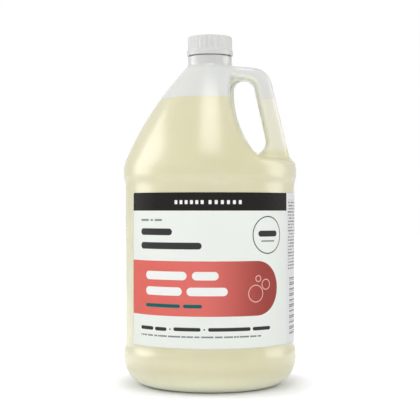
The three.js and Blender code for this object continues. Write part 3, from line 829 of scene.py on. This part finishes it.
# Printed bars (left, right, middle height, height, corner radius if it isn't half the height)
CORAL_FIELD = (-125, 64.1, 88.95, 45.7)
PALE_LINES = [(-60, -19.6, 99.6, 7.0), (-15, 7.1, 99.6, 7.0),
              (-60, -23.8, 86.6, 7.0), (-19.6, 14.7, 86.6, 7.0)]
TEAL_LINES = [(-60.3, -25.3, 74.5, 3.0), (-22.7, -6.6, 74.5, 3.0)]
DARK_LINES = [
    (-66.6, -32.6, 136.0, 5.6), (-66.6, -6.9, 124.4, 5.6), (42.6, 63.6, 134.4, 5.0),
    (-66.6, -51.5, 55.2, 3.0), (-49.6, -37.8, 55.0, 3.0), (-31.3, -7.8, 55.4, 3.0),
    (-1.6, 35.0, 55.4, 3.0), (37.0, 55.4, 55.4, 3.0), (-35.2, -33.8, 55.2, 1.4), (-5.4, -4.0, 55.4, 1.4),
]
GREY_LINES = [(-66.6, -56.6, 145.8, 1.7), (-54.8, -51.8, 145.8, 1.7), (-50.2, -42.2, 145.8, 1.7),
              (45.6, 60.6, 128.2, 1.2)]
FINE_ROW = (-66.6, 46.1, 49.0, 2.4, 0.2)
REAR_COLUMNS = [(83, 113, 133, 60, 0.2), (130, 205, 120, 76, 0.2), (219, 316, 120, 76, 0.2)]
REAR_LADDER = (86, 108, 72, 50, 0.2)
REAR_HEADS = [(130, 170, 161.5, 3.4), (219, 262, 161.5, 3.4)]
REAR_FIELDS = [(130, 205, 60, 26, 4), (219, 316, 60, 26, 4)]

# Printed rings (arc, height, radius, stroke)
BUBBLE_RINGS = [(40.2, 84.6, 7.4, 0.8), (50.6, 92.0, 4.6, 0.8), (42.6, 97.0, 2.9, 0.8)]
BADGE_RING = (52.8, 133.3, 15.9, 0.9)

# Pale blocks on the dark strip
BLOCK_STARTS = np.concatenate([-30.2 + 4.5 * np.arange(6), -1.2 + 5.1 * np.arange(6)])
BLOCK_WIDTH = 2.5
BLOCK_SHAPE = (160.7, 3.3, 0.5)  # middle height, height and corner


def bar_mask():
    """Node group for a bar with round corners: distance outside the bar's core, less the corner's radius."""
    group = bpy.data.node_groups.new("printed_bar", "ShaderNodeTree")
    face = group.interface
    for name, kind in (("Place", "Vector"), ("Middle", "Vector"), ("Core", "Vector"), ("Corner", "Float")):
        face.new_socket(name, in_out="INPUT", socket_type="NodeSocket" + kind)
    face.new_socket("Mask", in_out="OUTPUT", socket_type="NodeSocketFloat")
    nodes, links = group.nodes, group.links
    given, result = nodes.new("NodeGroupInput"), nodes.new("NodeGroupOutput")
    value = given.outputs["Place"]
    for operation, other in (("SUBTRACT", given.outputs["Middle"]), ("ABSOLUTE", None),
                             ("SUBTRACT", given.outputs["Core"]), ("MAXIMUM", None)):
        step = nodes.new("ShaderNodeVectorMath")
        step.operation = operation
        links.new(value, step.inputs[0])
        if other:
            links.new(other, step.inputs[1])
        value = step.outputs[0]
    length = nodes.new("ShaderNodeVectorMath")
    length.operation = "LENGTH"
    links.new(value, length.inputs[0])
    less = nodes.new("ShaderNodeMath")
    less.operation = "SUBTRACT"
    links.new(length.outputs["Value"], less.inputs[0])
    links.new(given.outputs["Corner"], less.inputs[1])
    soft = nodes.new("ShaderNodeMapRange")
    soft.inputs["From Min"].default_value = PRINT_EDGE
    soft.inputs["From Max"].default_value = -PRINT_EDGE
    links.new(less.outputs[0], soft.inputs["Value"])
    links.new(soft.outputs[0], result.inputs["Mask"])
    return group


def label_film():
    """Satin label film. Its print is fields and plain bars, placed by arc from the front and height; the
    coral field darkens towards its right end.
    """
    f = Finish("label_film")
    group = bar_mask()
    angle = f.math("ARCTAN2", f.x, f.math("MULTIPLY", f.y, -1))
    angle = f.math("WRAP", angle, LABEL_START + TURN - WRAP_MARGIN, LABEL_START - WRAP_MARGIN)
    arc = f.math("MULTIPLY", angle, LABEL_RADIUS)
    height = f.math("MULTIPLY", f.z, 1000)
    place = f.node("ShaderNodeCombineXYZ", [arc, height, 0.0]).outputs[0]

    def bar(left, right, middle, tall, corner=None):
        corner = tall / 2 if corner is None else corner
        made = f.node("ShaderNodeGroup", node_tree=group)
        f.tree.links.new(place, made.inputs["Place"])
        made.inputs["Middle"].default_value = ((left + right) / 2, middle, 0)
        made.inputs["Core"].default_value = ((right - left) / 2 - corner, tall / 2 - corner, 0)
        made.inputs["Corner"].default_value = corner
        return made.outputs[0]

    def either(*masks):
        whole = masks[0]
        for mask in masks[1:]:
            whole = f.math("MAXIMUM", whole, mask)
        return whole

    def bars(rows):
        return either(*(bar(*row) for row in rows))

    def ring(middle_arc, middle_height, radius, stroke):
        discs = [bar(middle_arc - reach, middle_arc + reach, middle_height, 2 * reach)
                 for reach in (radius, radius - stroke)]
        return f.math("SUBTRACT", *discs)

    def dashes(area, pitch, share, seed):
        """Rows of dashes in an area, each row broken into word lengths by noise along the row."""
        row = f.math("FLOOR", f.math("DIVIDE", height, pitch))
        within = f.math("PINGPONG", f.math("DIVIDE", height, pitch), 0.5)
        line = f.ramp(within, 0.5 - share / 2 - 0.06, 0.5 - share / 2 + 0.06)
        along, down = f.math("MULTIPLY", arc, 0.42), f.math("MULTIPLY", row, 7.3)
        spot = f.node("ShaderNodeCombineXYZ", [along, down, seed]).outputs[0]
        words = f.node("ShaderNodeTexNoise", {"Vector": spot, "Scale": 1.0, "Detail": 1.0}).outputs[0]
        return f.math("MULTIPLY", f.math("MULTIPLY", line, f.ramp(words, 0.40, 0.45)), area)

    def ladder(area):
        """Thick and thin lines stacked in an area, from two waves of different pitch."""
        one = f.math("SINE", f.math("MULTIPLY", height, TURN / 1.9))
        two = f.math("SINE", f.math("MULTIPLY", height, TURN / 4.7))
        return f.math("MULTIPLY", f.ramp(f.math("ADD", one, two), 0.05, 0.25), area)

    front = f.ramp(arc, *FRONT_END, 1.0, 0.0)
    colour = f.mix(front, FILM_SIDE, FILM)
    strip = f.math("MULTIPLY", front, f.ramp(height, *STRIP_BOTTOM))
    colour = f.mix(strip, colour, INK)
    # The coral is warmer at its left end and darkens towards its right end.
    coral = f.mix(f.ramp(arc, -12.0, 56.0), f.mix(f.ramp(arc, -80.0, 5.0), CORAL_WARM, CORAL), CORAL_DEEP)
    colour = f.mix(f.math("MULTIPLY", bar(*CORAL_FIELD), front), colour, coral)

    blocks = [bar(start, start + BLOCK_WIDTH, *BLOCK_SHAPE) for start in BLOCK_STARTS]
    colour = f.mix(either(*blocks, bars(PALE_LINES)), colour, PALE)
    colour = f.mix(bars(TEAL_LINES), colour, TEAL)
    colour = f.mix(either(*(ring(*row) for row in BUBBLE_RINGS)), colour, BLUSH)
    colour = f.mix(either(bars(DARK_LINES), ring(*BADGE_RING)), colour, INK_SOFT)
    fine = dashes(bar(*FINE_ROW), 2.4, 0.55, 4.0)
    colour = f.mix(either(bars(GREY_LINES), fine), colour, GREY_INK)
    rear = either(dashes(bars(REAR_COLUMNS), 2.7, 0.45, 9.0), ladder(bar(*REAR_LADDER)))
    colour = f.mix(rear, colour, GREY_INK)
    colour = f.mix(bars(REAR_HEADS), colour, INK_SOFT)
    colour = f.mix(bars(REAR_FIELDS), colour, CORAL)

    f.set(Base_Color=colour, Roughness=f.ramp(f.noise(90, 4), 0.25, 0.8, 0.26, 0.36),
          Normal=f.bump(f.noise(30, 3, (1, 1, 0.4)), 0.0002, 0.06, f.bump(f.noise(700, 2), 0.00002, 0.15)))
    f.set(IOR=1.5, Specular_IOR_Level=0.025)
    return f


def liquid_soap():
    """Clear pale yellow soap with a few small air bubbles."""
    f = Finish("liquid_soap")
    spots = f.node("ShaderNodeTexVoronoi", {"Vector": f.place, "Scale": 160.0}).outputs["Distance"]
    bubbles = f.ramp(spots, 0.10, 0.04)
    colour = f.mix(f.ramp(f.noise(20, 3), *MOTTLE), SOAP_WALL, SOAP_DEEP)
    f.set(Base_Color=f.mix(bubbles, colour, BUBBLE), Normal=f.bump(bubbles, 0.0003, 0.5),
          Roughness=f.ramp(f.noise(50, 2), 0.2, 0.8, 0.05, 0.12))
    return f


def liner_foam():
    """White foamed wad with fine closed cells."""
    f = Finish("liner_foam")
    cells = f.node("ShaderNodeTexVoronoi", {"Vector": f.place, "Scale": 2200.0}).outputs["Distance"]
    colour = f.mix(f.ramp(cells, 0.1, 0.6), FOAM_SKIN, FOAM_CELL)
    f.set(Base_Color=colour, Roughness=f.ramp(cells, 0.0, 0.8, 0.9, 0.6), Normal=f.bump(cells, 0.00008, 0.7))
    return f


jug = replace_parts(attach(jug_skin(), "jug_body"), "jug")
blown_polyethylene().on(jug)
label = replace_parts(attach(label_sheet(), "jug_body"), "wrap_label")
label_film().on(label)
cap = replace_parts(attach(cap_surface(), "cap"), "screw_cap")
cap_polypropylene().on(cap)
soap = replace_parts(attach(soap_body(), "jug_body"), "liquid_soap")
liquid_soap().on(soap)
liner_foam().on(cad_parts["cap_liner"])


FLOOR_HALF = 6.0
FLOOR_COLOUR = (0.83, 0.84, 0.86, 1)
WORLD_FILL = 0.22  # the even light that the surroundings give
FLOOR_FADE = (0.06, 0.15, 0.0, 1.0)  # painted shadow: no glow within 0.06 m of the jug's axis, rising to 1 at 0.15 m, so the floor is darker round the jug


def seen_rays(nodes, links):
    """1 for rays that show the surroundings as they look: camera, glossy and transmission rays."""
    path = nodes.new("ShaderNodeLightPath")
    seen = path.outputs["Is Camera Ray"]
    for ray in ("Is Glossy Ray", "Is Transmission Ray"):
        either = nodes.new("ShaderNodeMath")
        either.operation = "MAXIMUM"
        links.new(seen, either.inputs[0])
        links.new(path.outputs[ray], either.inputs[1])
        seen = either.outputs[0]
    return seen


def white_floor():
    """Large pale floor that fades to white for the camera and keeps the jug's soft shadow, with a painted
    shadow where its glow is cut round the jug.
    """
    corners = [(-FLOOR_HALF, -FLOOR_HALF, 0), (FLOOR_HALF, -FLOOR_HALF, 0),
               (FLOOR_HALF, FLOOR_HALF, 0), (-FLOOR_HALF, FLOOR_HALF, 0)]
    mesh = bpy.data.meshes.new("floor")
    mesh.from_pydata(corners, [], [(0, 1, 2, 3)])
    floor = bpy.data.objects.new("floor", mesh)
    bpy.context.scene.collection.objects.link(floor)
    material = bpy.data.materials.new("white_floor")
    material.use_nodes = True
    nodes, links = material.node_tree.nodes, material.node_tree.links
    nodes.clear()
    diffuse, glow = nodes.new("ShaderNodeBsdfDiffuse"), nodes.new("ShaderNodeEmission")
    diffuse.inputs["Color"].default_value = FLOOR_COLOUR
    place = nodes.new("ShaderNodeTexCoord")
    reach = nodes.new("ShaderNodeVectorMath")
    reach.operation = "LENGTH"
    links.new(place.outputs["Object"], reach.inputs[0])
    fade = nodes.new("ShaderNodeMapRange")
    for socket, value in zip(("From Min", "From Max", "To Min", "To Max"), FLOOR_FADE):
        fade.inputs[socket].default_value = value
    links.new(reach.outputs["Value"], fade.inputs["Value"])
    level = nodes.new("ShaderNodeMath")
    level.operation = "MULTIPLY"
    links.new(seen_rays(nodes, links), level.inputs[0])
    links.new(fade.outputs[0], level.inputs[1])
    links.new(level.outputs[0], glow.inputs["Strength"])
    both, out = nodes.new("ShaderNodeAddShader"), nodes.new("ShaderNodeOutputMaterial")
    links.new(diffuse.outputs[0], both.inputs[0])
    links.new(glow.outputs[0], both.inputs[1])
    links.new(both.outputs[0], out.inputs["Surface"])
    mesh.materials.append(material)


def studio_world():
    """White to the camera and to reflections, and a dimmer even light for the rest."""
    world = bpy.data.worlds.new("studio")
    bpy.context.scene.world = world
    world.use_nodes = True
    nodes, links = world.node_tree.nodes, world.node_tree.links
    level = nodes.new("ShaderNodeMapRange")
    level.inputs["To Min"].default_value = WORLD_FILL
    level.inputs["To Max"].default_value = 1.0
    links.new(seen_rays(nodes, links), level.inputs["Value"])
    links.new(level.outputs[0], nodes["Background"].inputs["Strength"])
    nodes["Background"].inputs["Color"].default_value = (1, 1, 1, 1)


def soft_box(name, azimuth, elevation, distance, width, tall, power, mirrored=True, aim=(0, 0, 0.15)):
    """Rectangular lamp facing the aim point, seen in gloss if mirrored.

    Azimuth runs from the front towards the handle.
    """
    lamp = bpy.data.lights.new(name, "AREA")
    lamp.shape, lamp.size, lamp.size_y, lamp.energy = "RECTANGLE", width, tall, power
    box = bpy.data.objects.new(name, lamp)
    a, e = math.radians(azimuth), math.radians(elevation)
    out = np.array([math.sin(a) * math.cos(e), -math.cos(a) * math.cos(e), math.sin(e)])
    box.location = np.array(aim) + out * distance
    box.rotation_euler = Vector(out).to_track_quat("Z", "Y").to_euler()
    box.visible_glossy = mirrored
    bpy.context.scene.collection.objects.link(box)


white_floor()
studio_world()
soft_box("front_box", 0, 14, 1.4, 0.9, 0.7, 8.9, mirrored=False)
soft_box("left_box", -98, 20, 1.0, 0.65, 0.9, 4.5)
soft_box("right_box", 95, 15, 1.0, 0.6, 0.9, 3.1)
soft_box("top_box", 0, 65, 1.1, 0.4, 0.6, 2.4)
soft_box("back_box", 180, 25, 1.4, 0.9, 0.7, 4.0, mirrored=False)

CAMERA_DISTANCE = 1.036
CAMERA_HEIGHT = 0.1542
lens = bpy.data.cameras.new("camera")
lens.lens, lens.sensor_width = 100, 36
camera = bpy.data.objects.new("camera", lens)
camera.location = (0, -CAMERA_DISTANCE, CAMERA_HEIGHT)
camera.rotation_euler = (math.pi / 2, 0, 0)
bpy.context.scene.collection.objects.link(camera)
bpy.context.scene.camera = camera
bpy.context.scene.view_settings.view_transform = "Standard"
